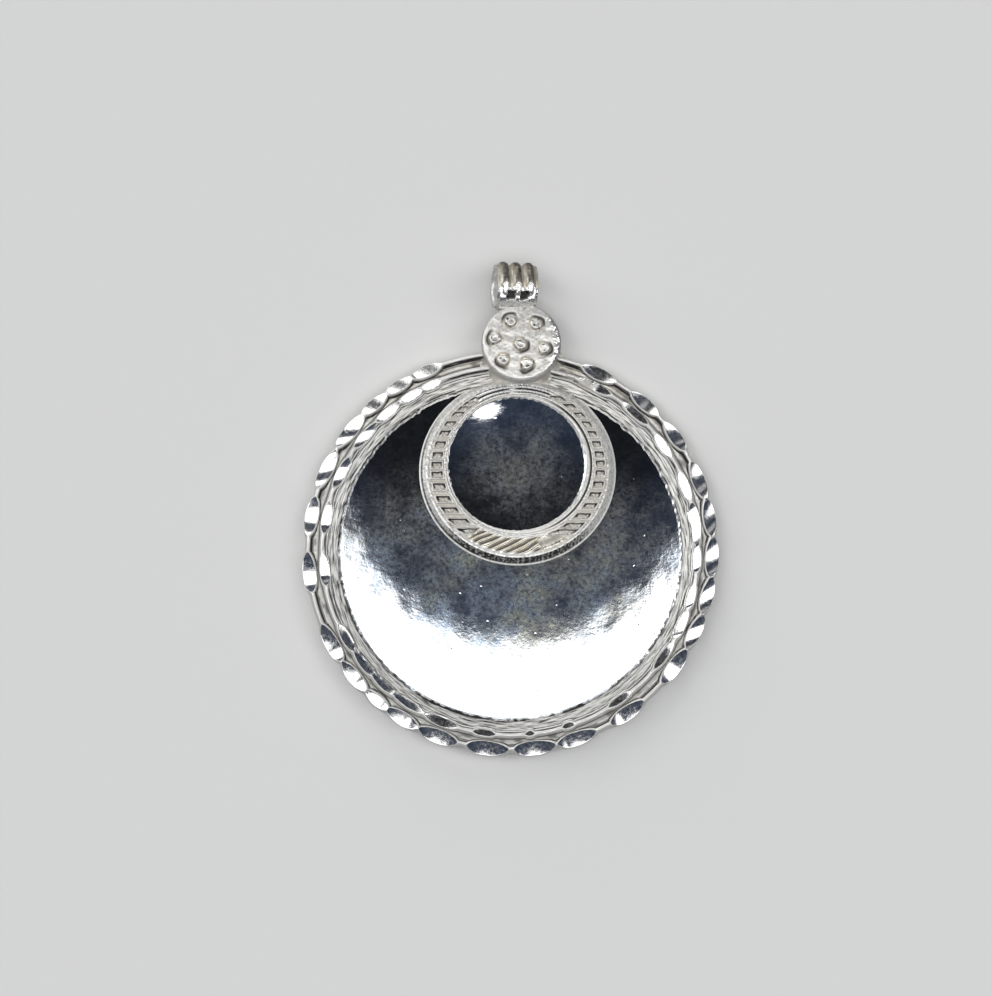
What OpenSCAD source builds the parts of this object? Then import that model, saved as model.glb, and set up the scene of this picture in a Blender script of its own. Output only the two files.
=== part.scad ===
// Round silver amulet pendant, lying face up: a domed mirror field inside a double rim that is
// struck with facets, a small moon ring round a dished mirror, a rosette of seven knobs that
// covers the solder at the top, and a bail of three ribs. All of it is soldered into one solid.
// Places are measured from the middle of the disc, +Y towards the bail and +Z out of the face.

/* [Disc] */
// Radius over the rim
disc_r = 23; // [22.8:0.1:23.4]
// Radius over the flat foot of the rim that the pendant lies on
foot_r = 22.2; // [21.8:0.1:22.6]
// Radius of the mirror field, where it meets the rim
field_r = 18.7; // [18.4:0.1:19]
// Height of the field's edge above the back
field_edge_z = 1.1; // [1:0.05:1.3]
// Rise of the domed field from its edge to its middle
field_rise = 2.05; // [1.9:0.05:2.2]
// Depth of the plain hollow at the back
hollow_depth = 1.7; // [1.4:0.1:1.8]
// Radius of the hollow at the back
hollow_r = 18.2; // [17.8:0.1:18.4]

/* [Rim] */
// Radius of the round section of the outer ridge
outer_ridge_r = 0.9; // [0.85:0.05:0.95]
// Height of the outer ridge's crest
outer_crest_z = 2.35; // [2.3:0.05:2.4]
// Radius from the disc's middle to the inner ridge's crest
inner_crest_r = 20.75; // [20.7:0.05:20.8]
// Radius of the round section of the inner ridge
inner_ridge_r = 0.5; // [0.45:0.05:0.55]
// Height of the inner ridge's crest
inner_crest_z = 2.25; // [2.2:0.05:2.3]
// Height of the valley between the ridges, and of the band's outer edge
valley_z = 1.8; // [1.75:0.05:1.85]
// Radius of the fine wire inside the inner ridge
wire_r = 0.14; // [0.12:0.01:0.16]

/* [Struck facets] */
// Radius of the round tool that struck the facets
tool_r = 5.4; // [5:0.1:6]
// Outward lean of the outer facets, in degrees
outer_lean = 22; // [18:1:24]
// Outward lean of the inner facets, in degrees
inner_lean = 10; // [8:1:14]

/* [Moon ring] */
// Middle of the ring plane, across the disc
moon_x = 0.7; // [0.5:0.1:0.9]
// Middle of the ring plane, up the disc
moon_y = 9; // [8.8:0.1:9.2]
// Height of the ring's top at its middle
moon_z = 3.2; // [3.1:0.05:3.3]
// Fall of the ring's top towards the bail, in degrees
moon_tilt = 4.7; // [4:0.1:5.5]
// Outer radius of the laddered band
ladder_out_r = 9.85; // [9.7:0.05:10]
// Inner radius of the laddered band
ladder_in_r = 8.5; // [8.4:0.05:8.6]
// Distance from one rung to the next
rung_pitch = 1.2; // [1.1:0.05:1.3]
// Depth of the cells between the rungs
cell_depth = 0.3; // [0.2:0.05:0.35]

/* [Dished mirror] */
// Radius of the small dished mirror
dish_r = 7.5; // [7.3:0.1:7.6]
// Height of the dish's edge
dish_edge_z = 2.15; // [2.05:0.05:2.25]
// Depth of the dish at its middle
dish_depth = 0.56; // [0.4:0.02:0.6]
// Thickness of metal under the dish
dish_wall = 0.9; // [0.7:0.1:1]

/* [Rosette] */
// Radius of the rosette
rosette_r = 4.38; // [4.3:0.02:4.44]
// Height of the middle of its face
rosette_z = 4.2; // [4.1:0.1:4.4]
// Radius of each knob
knob_r = 0.8; // [0.7:0.05:0.85]

/* [Bail] */
// Radius of the hole that the cord goes through
bail_hole_r = 2; // [1.9:0.05:2]
// Width of the strap, along the hole
bail_w = 4.5; // [4.2:0.1:4.7]
// Roll of the bail, its left side up, in degrees
bail_roll = 10; // [6:1:11]
// Radius of each rib's round section
rib_r = 0.62; // [0.58:0.02:0.62]

/* [Hidden] */
arc_fn = 720;
round_fn = 96;
small_fn = 48;

field_top_z = field_edge_z + field_rise;
dome_r = (pow(field_r, 2) + pow(field_rise, 2)) / (2 * field_rise);
hollow_ball_r = (pow(hollow_r, 2) + pow(hollow_depth, 2)) / (2 * hollow_depth);

outer_crest_r = disc_r - outer_ridge_r;
outer_ridge_z = outer_crest_z - outer_ridge_r;
inner_ridge_z = inner_crest_z - inner_ridge_r;
band_out_r = inner_crest_r - inner_ridge_r - 2 * wire_r;
band_slope = (valley_z - field_edge_z) / (band_out_r - field_r);
band_in_r = field_r - 1;
field_overlap = 0.2;
facet_out_reach = 2;
facet_in_reach = 0.75;
inner_facet_reach = 0.6;

dish_x = 0.66;
dish_y = 9.6;
dish_ball_r = (pow(dish_r, 2) + pow(dish_depth, 2)) / (2 * dish_depth);
dish_ball_z = dish_edge_z - dish_depth + dish_ball_r;
dish_flare = 0.4;
dish_back_r = 8.6;
dish_cut_h = 5;
ladder_out_c = [0.08, -0.2];
ladder_in_c = [-0.04, 0.5];
ladder_rail = 0.14;
flank_run = 0.8;
moon_base_h = 1.5;
rung_w = 0.55;
plain_top_y = 7.6;
groove_r = 0.13;
groove_lift = 0.03;

rosette_x = 1.22;
rosette_y = 23.1;
rosette_under_z = 1.9;
rosette_edge_r = 0.45;
face_rise = 0.2;
rosette_shoulder_z = rosette_z - face_rise;
face_r = rosette_r - rosette_edge_r;
face_ball_r = (pow(face_r, 2) + pow(face_rise, 2)) / (2 * face_rise);
knob_sink = 0.35;

// Knobs of the rosette, placed by eye from its middle: a middle one and six round it
KNOB_X = 0;
KNOB_Y = 1;
KNOBS = [
    [-0.1, -0.35],
    [-1.15, 2.4],
    [1.65, 2],
    [2.5, -0.75],
    [0.6, -2.55],
    [-2, -2.05],
    [-2.95, 0.4],
];
solder_spread = 0.9;
solder_low_z = 1.6;
solder_high_z = 2.6;

bail_x = 0.48;
bail_y = 29.5;
strap_t = 0.4;
rib_seat_r = bail_hole_r + 0.15;
rib_count = 3;
rib_pitch = 1.4;
bail_out_r = rib_seat_r + rib_r;
bail_lift = 0.13;
bail_z = bail_out_r * cos(bail_roll) + bail_w / 2 * sin(bail_roll) + bail_lift;
disc_y = -(bail_y + bail_out_r - disc_r) / 2;

// Facets of the rim, charted by eye in degrees round the disc from +X:
// where each outer facet starts and ends, and the inner one that the same blow left
OUT_FROM = 0;
OUT_TO = 1;
IN_FROM = 2;
IN_TO = 3;
FACETS = [
    [-8, 4, -7, 1],
    [4, 15, 1.5, 14.5],
    [15, 26.5, 16, 25],
    [30, 40, 31, 39],
    [43, 53, 44, 52.5],
    [58.5, 69, 58.5, 67],
    [110, 119.5, 112, 118],
    [119.5, 128, 118.5, 126],
    [128, 137, 127, 135.5],
    [137, 149, 137, 146],
    [150, 162, 150, 160],
    [164.5, 176, 165, 174.5],
    [180.5, 192, 181, 190],
    [202, 214, 203.5, 212],
    [214, 224, 214, 222],
    [224, 232, 223, 231],
    [232, 242, 232, 241],
    [243, 254, 243, 252],
    [257, 269, 258.5, 265.5],
    [271, 282, 274.5, 277.5],
    [283, 295, 286, 290],
    [299, 311, 301, 309],
    [318, 329.5, 320, 329],
    [330.5, 341, 332, 341],
    [341.5, 352, 341.5, 349],
];

module silver() color([0.83, 0.83, 0.81]) children();

// Half section of the rim and the domed field, turned round the disc's axis
module rim_section() {
    polygon([
        [band_in_r, 0],
        [foot_r, 0],
        [disc_r, outer_ridge_z],
        [outer_crest_r, outer_ridge_z + 0.1],
        [outer_crest_r - outer_ridge_r, valley_z],
        [band_out_r, valley_z],
        [band_in_r, field_edge_z - (field_r - band_in_r) * band_slope],
    ]);
    translate([outer_crest_r, outer_ridge_z]) circle(r = outer_ridge_r, $fn = small_fn);
    translate([inner_crest_r, inner_ridge_z]) circle(r = inner_ridge_r, $fn = small_fn);
    translate([band_out_r + wire_r, valley_z]) circle(r = wire_r, $fn = small_fn);
}

module rim() {
    rotate_extrude($fn = arc_fn) rim_section();
}

// A ball with its seam and poles away from the top and the bottom
module ball(r, fn) {
    rotate([90, 0, 0]) sphere(r = r, $fn = fn);
}

// The field runs a little way into the rim
module domed_field() {
    intersection() {
        cylinder(r = field_r + field_overlap, h = field_top_z + 1, $fn = arc_fn);
        translate([0, 0, field_top_z - dome_r]) ball(dome_r, arc_fn);
    }
}

module back_hollow() {
    translate([0, 0, hollow_depth - hollow_ball_r]) ball(hollow_ball_r, arc_fn);
}

// One blow of the round tool across a ridge: the tool lies outwards and down by lean,
// and sinks until its mark is as long as the angle from a0 to a1
module tool_mark(a0, a1, crest_r, crest_z, lean, reach_in, reach_out) {
    half_chord = crest_r * sin((a1 - a0) / 2);
    sink = tool_r - sqrt(pow(tool_r, 2) - pow(half_chord, 2));
    rotate([0, 0, (a0 + a1) / 2])
        translate([crest_r, 0, crest_z - sink])
        rotate([0, 90 + lean, 0])
        translate([-tool_r, 0, -reach_in])
        cylinder(r = tool_r, h = reach_in + reach_out, $fn = round_fn * 2);
}

module struck_facets() {
    for (f = FACETS) {
        tool_mark(f[OUT_FROM], f[OUT_TO], outer_crest_r, outer_crest_z,
            outer_lean, facet_in_reach, facet_out_reach);
        tool_mark(f[IN_FROM], f[IN_TO], inner_crest_r, inner_crest_z,
            inner_lean, inner_facet_reach, inner_facet_reach);
    }
}

module on_moon_plane() {
    translate([moon_x, moon_y, moon_z]) rotate([-moon_tilt, 0, 0]) children();
}

// Flat shape of the laddered band, wide at the bottom and narrow at the top
module ladder_band(rail) {
    difference() {
        translate(ladder_out_c) circle(r = ladder_out_r - rail, $fn = round_fn * 2);
        translate(ladder_in_c) circle(r = ladder_in_r + rail, $fn = round_fn * 2);
    }
}

module rung_gaps() {
    first = -floor(ladder_out_r / rung_pitch);
    last = floor(plain_top_y / rung_pitch);
    for (k = [first : last])
        translate([-ladder_out_r - 1, k * rung_pitch - rung_pitch + rung_w])
            square([2 * ladder_out_r + 2, rung_pitch - rung_w]);
}

module moon_ring() {
    on_moon_plane() difference() {
        translate([ladder_out_c[0], ladder_out_c[1], -moon_base_h])
            cylinder(h = moon_base_h, r1 = ladder_out_r + flank_run * moon_base_h,
                r2 = ladder_out_r, $fn = round_fn * 2);
        translate([0, 0, -cell_depth]) linear_extrude(cell_depth + 1) intersection() {
            ladder_band(ladder_rail);
            rung_gaps();
        }
        translate([ladder_in_c[0], ladder_in_c[1], groove_lift])
            rotate_extrude($fn = round_fn * 2) translate([ladder_in_r - groove_r, 0])
            circle(r = groove_r, $fn = small_fn);
    }
}

// Low boss at the back, so that the wall under the dish is whole
module dish_back() {
    translate([dish_x, dish_y, dish_edge_z - dish_depth - dish_wall])
        cylinder(r = dish_back_r, h = dish_wall + dish_depth, $fn = round_fn * 2);
}

// The space over the small mirror: a flared well with a round bottom
module dish_well() {
    well_low_z = dish_edge_z - 1;
    intersection() {
        translate([dish_x, dish_y, well_low_z])
            cylinder(h = dish_cut_h, r1 = dish_r - dish_flare,
                r2 = dish_r + dish_flare * (dish_cut_h - 1), $fn = round_fn * 2);
        translate([dish_x, dish_y, dish_ball_z]) ball(dish_ball_r, arc_fn);
    }
}

module knob(x, y) {
    face_z = rosette_z - face_ball_r + sqrt(pow(face_ball_r, 2) - x * x - y * y);
    translate([x, y, face_z - knob_sink]) ball(knob_r, small_fn);
}

module rosette() {
    translate([rosette_x, rosette_y, 0]) {
        rotate_extrude($fn = round_fn * 2) {
            translate([0, rosette_under_z])
                square([rosette_r, rosette_shoulder_z - rosette_edge_r - rosette_under_z]);
            translate([0, rosette_under_z])
                square([face_r, rosette_shoulder_z - rosette_under_z]);
            translate([face_r, rosette_shoulder_z - rosette_edge_r])
                circle(r = rosette_edge_r, $fn = small_fn);
            intersection() {
                translate([0, rosette_under_z]) square([face_r, rosette_z]);
                translate([0, rosette_z - face_ball_r]) circle(r = face_ball_r, $fn = arc_fn);
            }
        }
        for (k = KNOBS) knob(k[KNOB_X], k[KNOB_Y]);
    }
}

// Solder that ran out from under the rosette, over the rim only
module solder_fillet() {
    intersection() {
        translate([rosette_x, rosette_y, solder_low_z])
            cylinder(h = solder_high_z - solder_low_z, r1 = rosette_r + solder_spread,
                r2 = rosette_r - 0.1, $fn = round_fn * 2);
        cylinder(r = disc_r - 0.5, h = solder_high_z, $fn = arc_fn);
    }
}

module on_bail_axis() {
    translate([bail_x, bail_y, bail_z]) rotate([0, 90 + bail_roll, 0]) children();
}

module bail() {
    on_bail_axis() rotate_extrude($fn = round_fn * 2) difference() {
        union() {
            translate([0, -bail_w / 2]) square([bail_hole_r + strap_t, bail_w]);
            for (k = [0 : rib_count - 1])
                translate([rib_seat_r, (k - (rib_count - 1) / 2) * rib_pitch])
                    circle(r = rib_r, $fn = small_fn);
        }
        translate([0, -bail_w]) square([bail_hole_r, 2 * bail_w]);
    }
}

module pendant() {
    silver() translate([0, disc_y, 0]) {
        difference() {
            union() {
                difference() {
                    union() {
                        rim();
                        domed_field();
                    }
                    struck_facets();
                    back_hollow();
                }
                moon_ring();
                dish_back();
            }
            dish_well();
        }
        solder_fillet();
        rosette();
        bail();
    }
}

pendant();
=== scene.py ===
import math

import bpy
import numpy as np
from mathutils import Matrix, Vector


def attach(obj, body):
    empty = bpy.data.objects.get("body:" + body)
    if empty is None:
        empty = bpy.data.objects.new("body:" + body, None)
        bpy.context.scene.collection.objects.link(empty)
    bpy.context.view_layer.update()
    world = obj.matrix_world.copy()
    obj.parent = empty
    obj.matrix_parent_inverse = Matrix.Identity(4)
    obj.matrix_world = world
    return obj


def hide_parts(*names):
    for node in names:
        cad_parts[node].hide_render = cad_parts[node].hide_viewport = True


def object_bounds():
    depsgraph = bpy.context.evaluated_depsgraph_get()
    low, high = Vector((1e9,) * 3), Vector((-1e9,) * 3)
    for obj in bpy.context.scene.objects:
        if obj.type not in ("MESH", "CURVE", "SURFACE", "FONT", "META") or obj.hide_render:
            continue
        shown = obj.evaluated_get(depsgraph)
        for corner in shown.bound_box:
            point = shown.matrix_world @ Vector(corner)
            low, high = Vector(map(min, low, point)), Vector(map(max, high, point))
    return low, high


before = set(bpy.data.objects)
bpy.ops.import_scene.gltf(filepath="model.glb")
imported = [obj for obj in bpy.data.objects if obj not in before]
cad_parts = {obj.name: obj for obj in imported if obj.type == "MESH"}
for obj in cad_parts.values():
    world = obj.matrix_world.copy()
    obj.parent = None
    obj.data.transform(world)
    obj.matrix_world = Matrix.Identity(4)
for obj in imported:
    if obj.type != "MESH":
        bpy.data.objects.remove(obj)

CAD_LOW, CAD_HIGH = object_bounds()

# Sizes in millimetres, from the middle of the disc's back, +Y towards the bail and +Z out of
# the face, as in the part's own source
MM = 0.001
DISC_R = 23.0
DISC_Y = CAD_LOW.y / MM + DISC_R

FIELD_R = 18.7
FIELD_EDGE_Z = 1.1
FIELD_RISE = 2.05
DOME_R = (FIELD_R ** 2 + FIELD_RISE ** 2) / (2 * FIELD_RISE)
HOLLOW_R = 18.2
HOLLOW_DEPTH = 1.7
HOLLOW_BALL_R = (HOLLOW_R ** 2 + HOLLOW_DEPTH ** 2) / (2 * HOLLOW_DEPTH)
FOOT_R = 22.2

OUTER_CREST_R = 22.1
OUTER_CREST_Z = 2.35
OUTER_WALL_Z = 1.45
INNER_CREST_R = 20.7
INNER_CREST_Z = 2.25
VALLEY_Z = 1.8
WIRE_R = 20.24
WIRE_PUSH = 0.23

TOOL_R = 5.4
TOOL_DISH_R = 14.0
TOOL_LIP = 0.07
TOOL_LIP_WIDTH = 0.085
CUT_DEPTH = 0.01

MOON_X, MOON_Y, MOON_Z = 0.7, 9.0, 3.2
MOON_TILT = math.radians(4.7)
DISH_X, DISH_Y = 0.66, 9.6
DISH_R = 7.5
DISH_EDGE_Z = 2.15
DISH_DEPTH = 0.40
DISH_FLARE = 0.4
DISH_BACK_R = 8.6

ROSETTE_X, ROSETTE_Y = 1.22, 23.1
ROSETTE_R = 4.38
ROSETTE_Z = 4.2
ROSETTE_UNDER_Z = 1.9
ROSETTE_ROUND = 0.45
ROSETTE_RISE = 0.2
KNOB_R = 0.95
KNOB_SINK = 0.55

BAIL_X, BAIL_Y = 0.48, 29.5
BAIL_ROLL = math.radians(10)
BAIL_HOLE_R = 2.0
BAIL_W = 4.5
BAIL_STRAP = 0.4
RIB_R = 0.62
RIB_SEAT_R = BAIL_HOLE_R + 0.15
RIB_PITCH = 1.4
BAIL_OUT_R = RIB_SEAT_R + RIB_R
BAIL_LIFT = 0.13
BAIL_Z = BAIL_OUT_R * math.cos(BAIL_ROLL) + BAIL_W / 2 * math.sin(BAIL_ROLL) + BAIL_LIFT

# Steps of each mesh round its circle
RIM_STEPS = 1440
FIELD_STEPS = 1080
RING_STEPS = 1200
MIRROR_STEPS = 360
ROSETTE_STEPS = 420
BAIL_STEPS = 480
SOLDER_STEPS = 360

# Facets of the rim, charted in degrees round the disc from +X: where each starts and
# ends, how far it leans outwards, how far its blow was twisted, how far its deepest line lies
# from its middle, how bright it was cut, and the tool's radius in mm where it isn't TOOL_R
OUTER_FACETS = (
    (-8, 4, 24.5, 26, 0, 0.95),
    (4, 15, 24.5, 30, 0, 0.95),
    (15, 26.5, 22, 15, 0, 0.95),
    (30, 40, 23, -10, -1, 0.95),
    (43, 53, 20, 0, 0, 0.9),
    (58.5, 69, 14, 0, 0, 0.85),
    (110, 119.5, 20, 10, 0, 0.6),
    (119.5, 128, 20, 15, 0, 0.6),
    (128, 137, 20, 15, 0, 0.7),
    (137, 149, 22, 35, 0, 0.9),
    (150, 162, 22, 30, 0, 0.95),
    (164.5, 176, 22, 5, 0, 0.95),
    (180.5, 192.5, 25.5, 0, 1.2, 0.95),
    (202, 214, 25, -5, 1.5, 0.9),
    (214.5, 225, 21, 0, 0, 0.9),
    (225, 233, 20, 0, 0, 0.9),
    (233, 243, 22, 0, 0, 0.9),
    (243.5, 255, 24, 0, 0, 0.95),
    (257.5, 269.5, 25.5, 0, -1, 0.95),
    (271, 283, 24.5, 0, -1, 0.95),
    (283.5, 295, 24.5, 0, -1.5, 0.95),
    (299.5, 311, 25, -5, -1, 0.95),
    (318, 330, 24.5, 0, 0, 0.95),
    (330.5, 341, 24.5, 38, 0, 0.95),
    (341.5, 352, 24.5, 38, 0, 0.95),
)
INNER_FACETS = (
    (-7, 1, -20, 26, -1.5, 0.95),
    (1.5, 14.5, -20, 30, 1.5, 0.95),
    (16, 25, -18, 15, 0, 0.95),
    (31, 39, -18, 15, 0, 0.95),
    (43, 53, 8, 0, 0, 0.9, 9.0),
    (57.5, 68.5, 8, 0, 0, 0.9, 9.0),
    (112, 118, -17, 10, 0, 0.6),
    (118.5, 126, -17, 15, 0, 0.6),
    (127, 135.5, -17, 15, 0, 0.65),
    (137, 146, -17, 35, 0, 0.85),
    (150, 160, -20, 30, 0, 0.95),
    (165, 174.5, -20, 5, 1.5, 0.95),
    (181.5, 191, -20, 0, 1.5, 0.95),
    (204, 213.5, -28, -5, 0, 0.9),
    (214.5, 223.5, -33, 0, 0, 0.9),
    (223.5, 232, -36, 0, 0, 0.9),
    (232.5, 242, -33, 0, 0, 0.9, 8.0),
    (243.5, 253.5, -14, 0, 0, 0.9),
    (258.5, 265.5, -8, 0, 0, 0.9, 7.0),
    (274.5, 277.5, -8, 0, 0, 0.9, 3.0),
    (286, 290, -8, 0, 0, 0.9, 4.0),
    (301.5, 309.5, -12, 0, 0, 0.9, 8.0),
    (320, 329.5, -10, 0, 0, 0.9, 9.0),
    (331.5, 340.5, -20, 38, -2.5, 0.95),
    (341.5, 349, -20, 38, -2, 0.95),
)

# Cells of the ladder, charted in degrees round the moon ring from +X
CELLS_RIGHT = (-53, -46, -37, -28.5, -20, -12, -4, 3, 9.5, 17, 25, 33, 41, 50, 60)
CELLS_LEFT = (121, 126.5, 132, 138.5, 147, 154.5, 163, 171, 178, 185, 193.5, 203, 212, 222, 232)

# Knobs of the rosette, charted from its middle
KNOBS = ((-0.1, -0.35), (-1.15, 2.4), (1.65, 2.0), (2.5, -0.75), (0.6, -2.55), (-2.0, -2.05),
         (-2.95, 0.4))


# Small helpers

def smooth(edge_low, edge_high, x):
    """0 below edge_low, 1 above edge_high, and a smooth rise between them"""
    t = np.clip((x - edge_low) / (edge_high - edge_low), 0, 1)
    return t * t * (3 - 2 * t)


def plateau(rise, top, end, foot, x):
    """Rises from 0 to 1 between rise and top, and falls back to 0 between end and foot"""
    return smooth(rise, top, x) * (1 - smooth(end, foot, x))


def bump_at(x, middle, width):
    return np.exp(-((x - middle) / width) ** 2)


def highest(*values):
    """The largest of several arrays at each point"""
    found = values[0]
    for value in values[1:]:
        found = np.maximum(found, value)
    return found


def ripple(points, size, seed, waves=28):
    """Smooth noise from about -1 to 1 over an array of points, with features about size across"""
    rng = np.random.default_rng(seed)
    directions = rng.normal(size=(waves, points.shape[-1]))
    directions /= np.linalg.norm(directions, axis=1, keepdims=True)
    turns = 2 * np.pi / size * rng.uniform(0.5, 1.3, waves)
    phases = rng.uniform(0, 2 * np.pi, waves)
    waves_at = np.sin(points @ (directions * turns[:, None]).T + phases)
    return waves_at.sum(-1) / math.sqrt(waves / 2) / 1.6


def points_of(*coordinates):
    """An array of points from arrays of their coordinates"""
    return np.stack(coordinates, axis=-1)


def circle_of(steps):
    return np.linspace(0, 2 * np.pi, steps, endpoint=False)[None, :]


def polar(radii, angles):
    """Arrays x and y for a column of radii and a row of angles"""
    return radii * np.cos(angles), radii * np.sin(angles)


def ray_to_circle(angles, start, middle, radius):
    """How far from start, in each direction, a circle round middle lies"""
    dx, dy = middle[0] - start[0], middle[1] - start[1]
    along = dx * np.cos(angles) + dy * np.sin(angles)
    return along + np.sqrt(radius ** 2 - dx ** 2 - dy ** 2 + along ** 2)


def resample(points, step):
    """Points along a polyline, about step apart, with its corners kept"""
    made = [np.asarray(points[0], float)]
    for a, b in zip(points[:-1], points[1:]):
        a, b = np.asarray(a, float), np.asarray(b, float)
        count = max(1, int(round(np.linalg.norm(b - a) / step)))
        for k in range(1, count + 1):
            made.append(a + (b - a) * k / count)
    return np.array(made)


def make_piece(name, rows, material, closed, polish, stain, shade_and_tarnish=0.0):
    """A closed mesh from rows of points in mm, each row a loop round the piece. The rows close
    into a ring if closed is true, and otherwise end in a point at either end. polish, stain and
    the dark third attribute are values from 0 to 1 for each point; the dark one stands for
    tarnish and for painted shade."""
    n, m = rows.shape[:2]
    points = rows.reshape(-1, 3)
    i = np.arange(n if closed else n - 1)[:, None]
    j = np.arange(m)[None, :]
    here, over = i % n * m, (i + 1) % n * m
    faces = np.stack([here + j, here + (j + 1) % m, over + (j + 1) % m, over + j], axis=-1)
    faces = faces.reshape(-1, 4).tolist()
    signs = {"polish": polish, "stain": stain, "shade_and_tarnish": shade_and_tarnish}
    values = [np.broadcast_to(np.asarray(v, float), (n, m)).reshape(-1) for v in signs.values()]
    if not closed:
        points = np.vstack([points, rows[0].mean(0), rows[-1].mean(0)])
        first, last = n * m, n * m + 1
        end = (n - 1) * m
        faces += [[first, (k + 1) % m, k] for k in range(m)]
        faces += [[last, end + k, end + (k + 1) % m] for k in range(m)]
        values = [np.concatenate([v, v[:1], v[-1:]]) for v in values]
    mesh = bpy.data.meshes.new(name)
    placed = (points + np.array([0, DISC_Y, 0])) * MM
    mesh.from_pydata(placed.tolist(), [], faces)
    mesh.polygons.foreach_set("use_smooth", np.ones(len(mesh.polygons), bool))
    for label, value in zip(signs, values):
        attribute = mesh.attributes.new(label, "FLOAT", "POINT")
        attribute.data.foreach_set("value", np.clip(value, 0, 1).astype(np.float32))
    mesh.update()
    turn_outwards(mesh)
    piece = add_object(name, mesh)
    mesh.materials.append(material)
    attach(piece, "root")
    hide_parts("pendant")


def add_object(name, data):
    made = bpy.data.objects.new(name, data)
    bpy.context.scene.collection.objects.link(made)
    return made


def turn_outwards(mesh):
    """Flips a closed mesh whose faces look inwards"""
    corners = np.zeros(len(mesh.vertices) * 3, np.float32)
    mesh.vertices.foreach_get("co", corners)
    corners = corners.reshape(-1, 3).astype(float)
    mesh.calc_loop_triangles()
    index = np.zeros(len(mesh.loop_triangles) * 3, np.int32)
    mesh.loop_triangles.foreach_get("vertices", index)
    a, b, c = (corners[index.reshape(-1, 3)[:, k]] for k in range(3))
    if np.einsum("ij,ij->i", a, np.cross(b, c)).sum() < 0:
        mesh.flip_normals()


# Materials

FROSTED, BRIGHT = (0.85, 0.845, 0.82), (0.94, 0.935, 0.93)
SOLDER_YELLOW = (0.50, 0.44, 0.31)
# Near black, for tarnish and for painted shade
TARNISH_AND_SHADE = (0.035, 0.033, 0.030)
MIRROR = (0.90, 0.92, 0.95)
BLUE_FILM, OLIVE_FILM = (0.42, 0.54, 0.70), (0.56, 0.58, 0.50)


def add_node(tree, kind, place, **inputs):
    made = tree.nodes.new(kind)
    made.location = place
    for key, value in inputs.items():
        made.inputs[key.replace("_", " ")].default_value = value
    return made


def add_math(tree, kind, place, *values):
    made = add_node(tree, "ShaderNodeMath", place)
    made.operation = kind
    for socket, value in zip(made.inputs, values):
        if isinstance(value, (int, float)):
            socket.default_value = value
        else:
            tree.links.new(value, socket)
    return made.outputs[0]


def add_noise(tree, place, where, size, detail, roughness):
    """Noise whose largest features are about size mm across"""
    made = add_node(tree, "ShaderNodeTexNoise", place, Scale=1 / (size * MM), Detail=detail,
                    Roughness=roughness)
    tree.links.new(where, made.inputs["Vector"])
    return made.outputs["Fac"]


def add_range(tree, place, value, low, high, to_low, to_high):
    made = add_node(tree, "ShaderNodeMapRange", place, From_Min=low, From_Max=high,
                    To_Min=to_low, To_Max=to_high)
    tree.links.new(value, made.inputs["Value"])
    return made.outputs[0]


def add_mix(tree, place, factor, a, b):
    made = add_node(tree, "ShaderNodeMix", place)
    made.data_type = "RGBA"
    tree.links.new(factor, made.inputs["Factor"])
    for name, value in (("A", a), ("B", b)):
        socket = next(s for s in made.inputs if s.name == name and s.type == "RGBA")
        if isinstance(value, tuple):
            socket.default_value = (*value, 1)
        else:
            tree.links.new(value, socket)
    return next(s for s in made.outputs if s.type == "RGBA")


def add_bump(tree, place, strength, depth, height, normal=None):
    made = add_node(tree, "ShaderNodeBump", place, Distance=depth * MM)
    if isinstance(strength, float):
        made.inputs["Strength"].default_value = strength
    else:
        tree.links.new(strength, made.inputs["Strength"])
    tree.links.new(height, made.inputs["Height"])
    if normal is not None:
        tree.links.new(normal, made.inputs["Normal"])
    return made.outputs[0]


def start_material(name):
    """A metal shader, the place in the object, and the three attributes by name"""
    material = bpy.data.materials.new(name)
    material.use_nodes = True
    tree = material.node_tree
    tree.nodes.clear()
    out = add_node(tree, "ShaderNodeOutputMaterial", (900, 0))
    shader = add_node(tree, "ShaderNodeBsdfPrincipled", (600, 0))
    tree.links.new(shader.outputs[0], out.inputs[0])
    where = add_node(tree, "ShaderNodeTexCoord", (-1200, 0)).outputs["Object"]
    signs = {}
    for k, label in enumerate(("polish", "stain", "shade_and_tarnish")):
        attribute = add_node(tree, "ShaderNodeAttribute", (-1200, 300 + 300 * k))
        attribute.attribute_name = label
        signs[label] = attribute.outputs["Fac"]
    return material, tree, shader, where, signs


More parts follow.
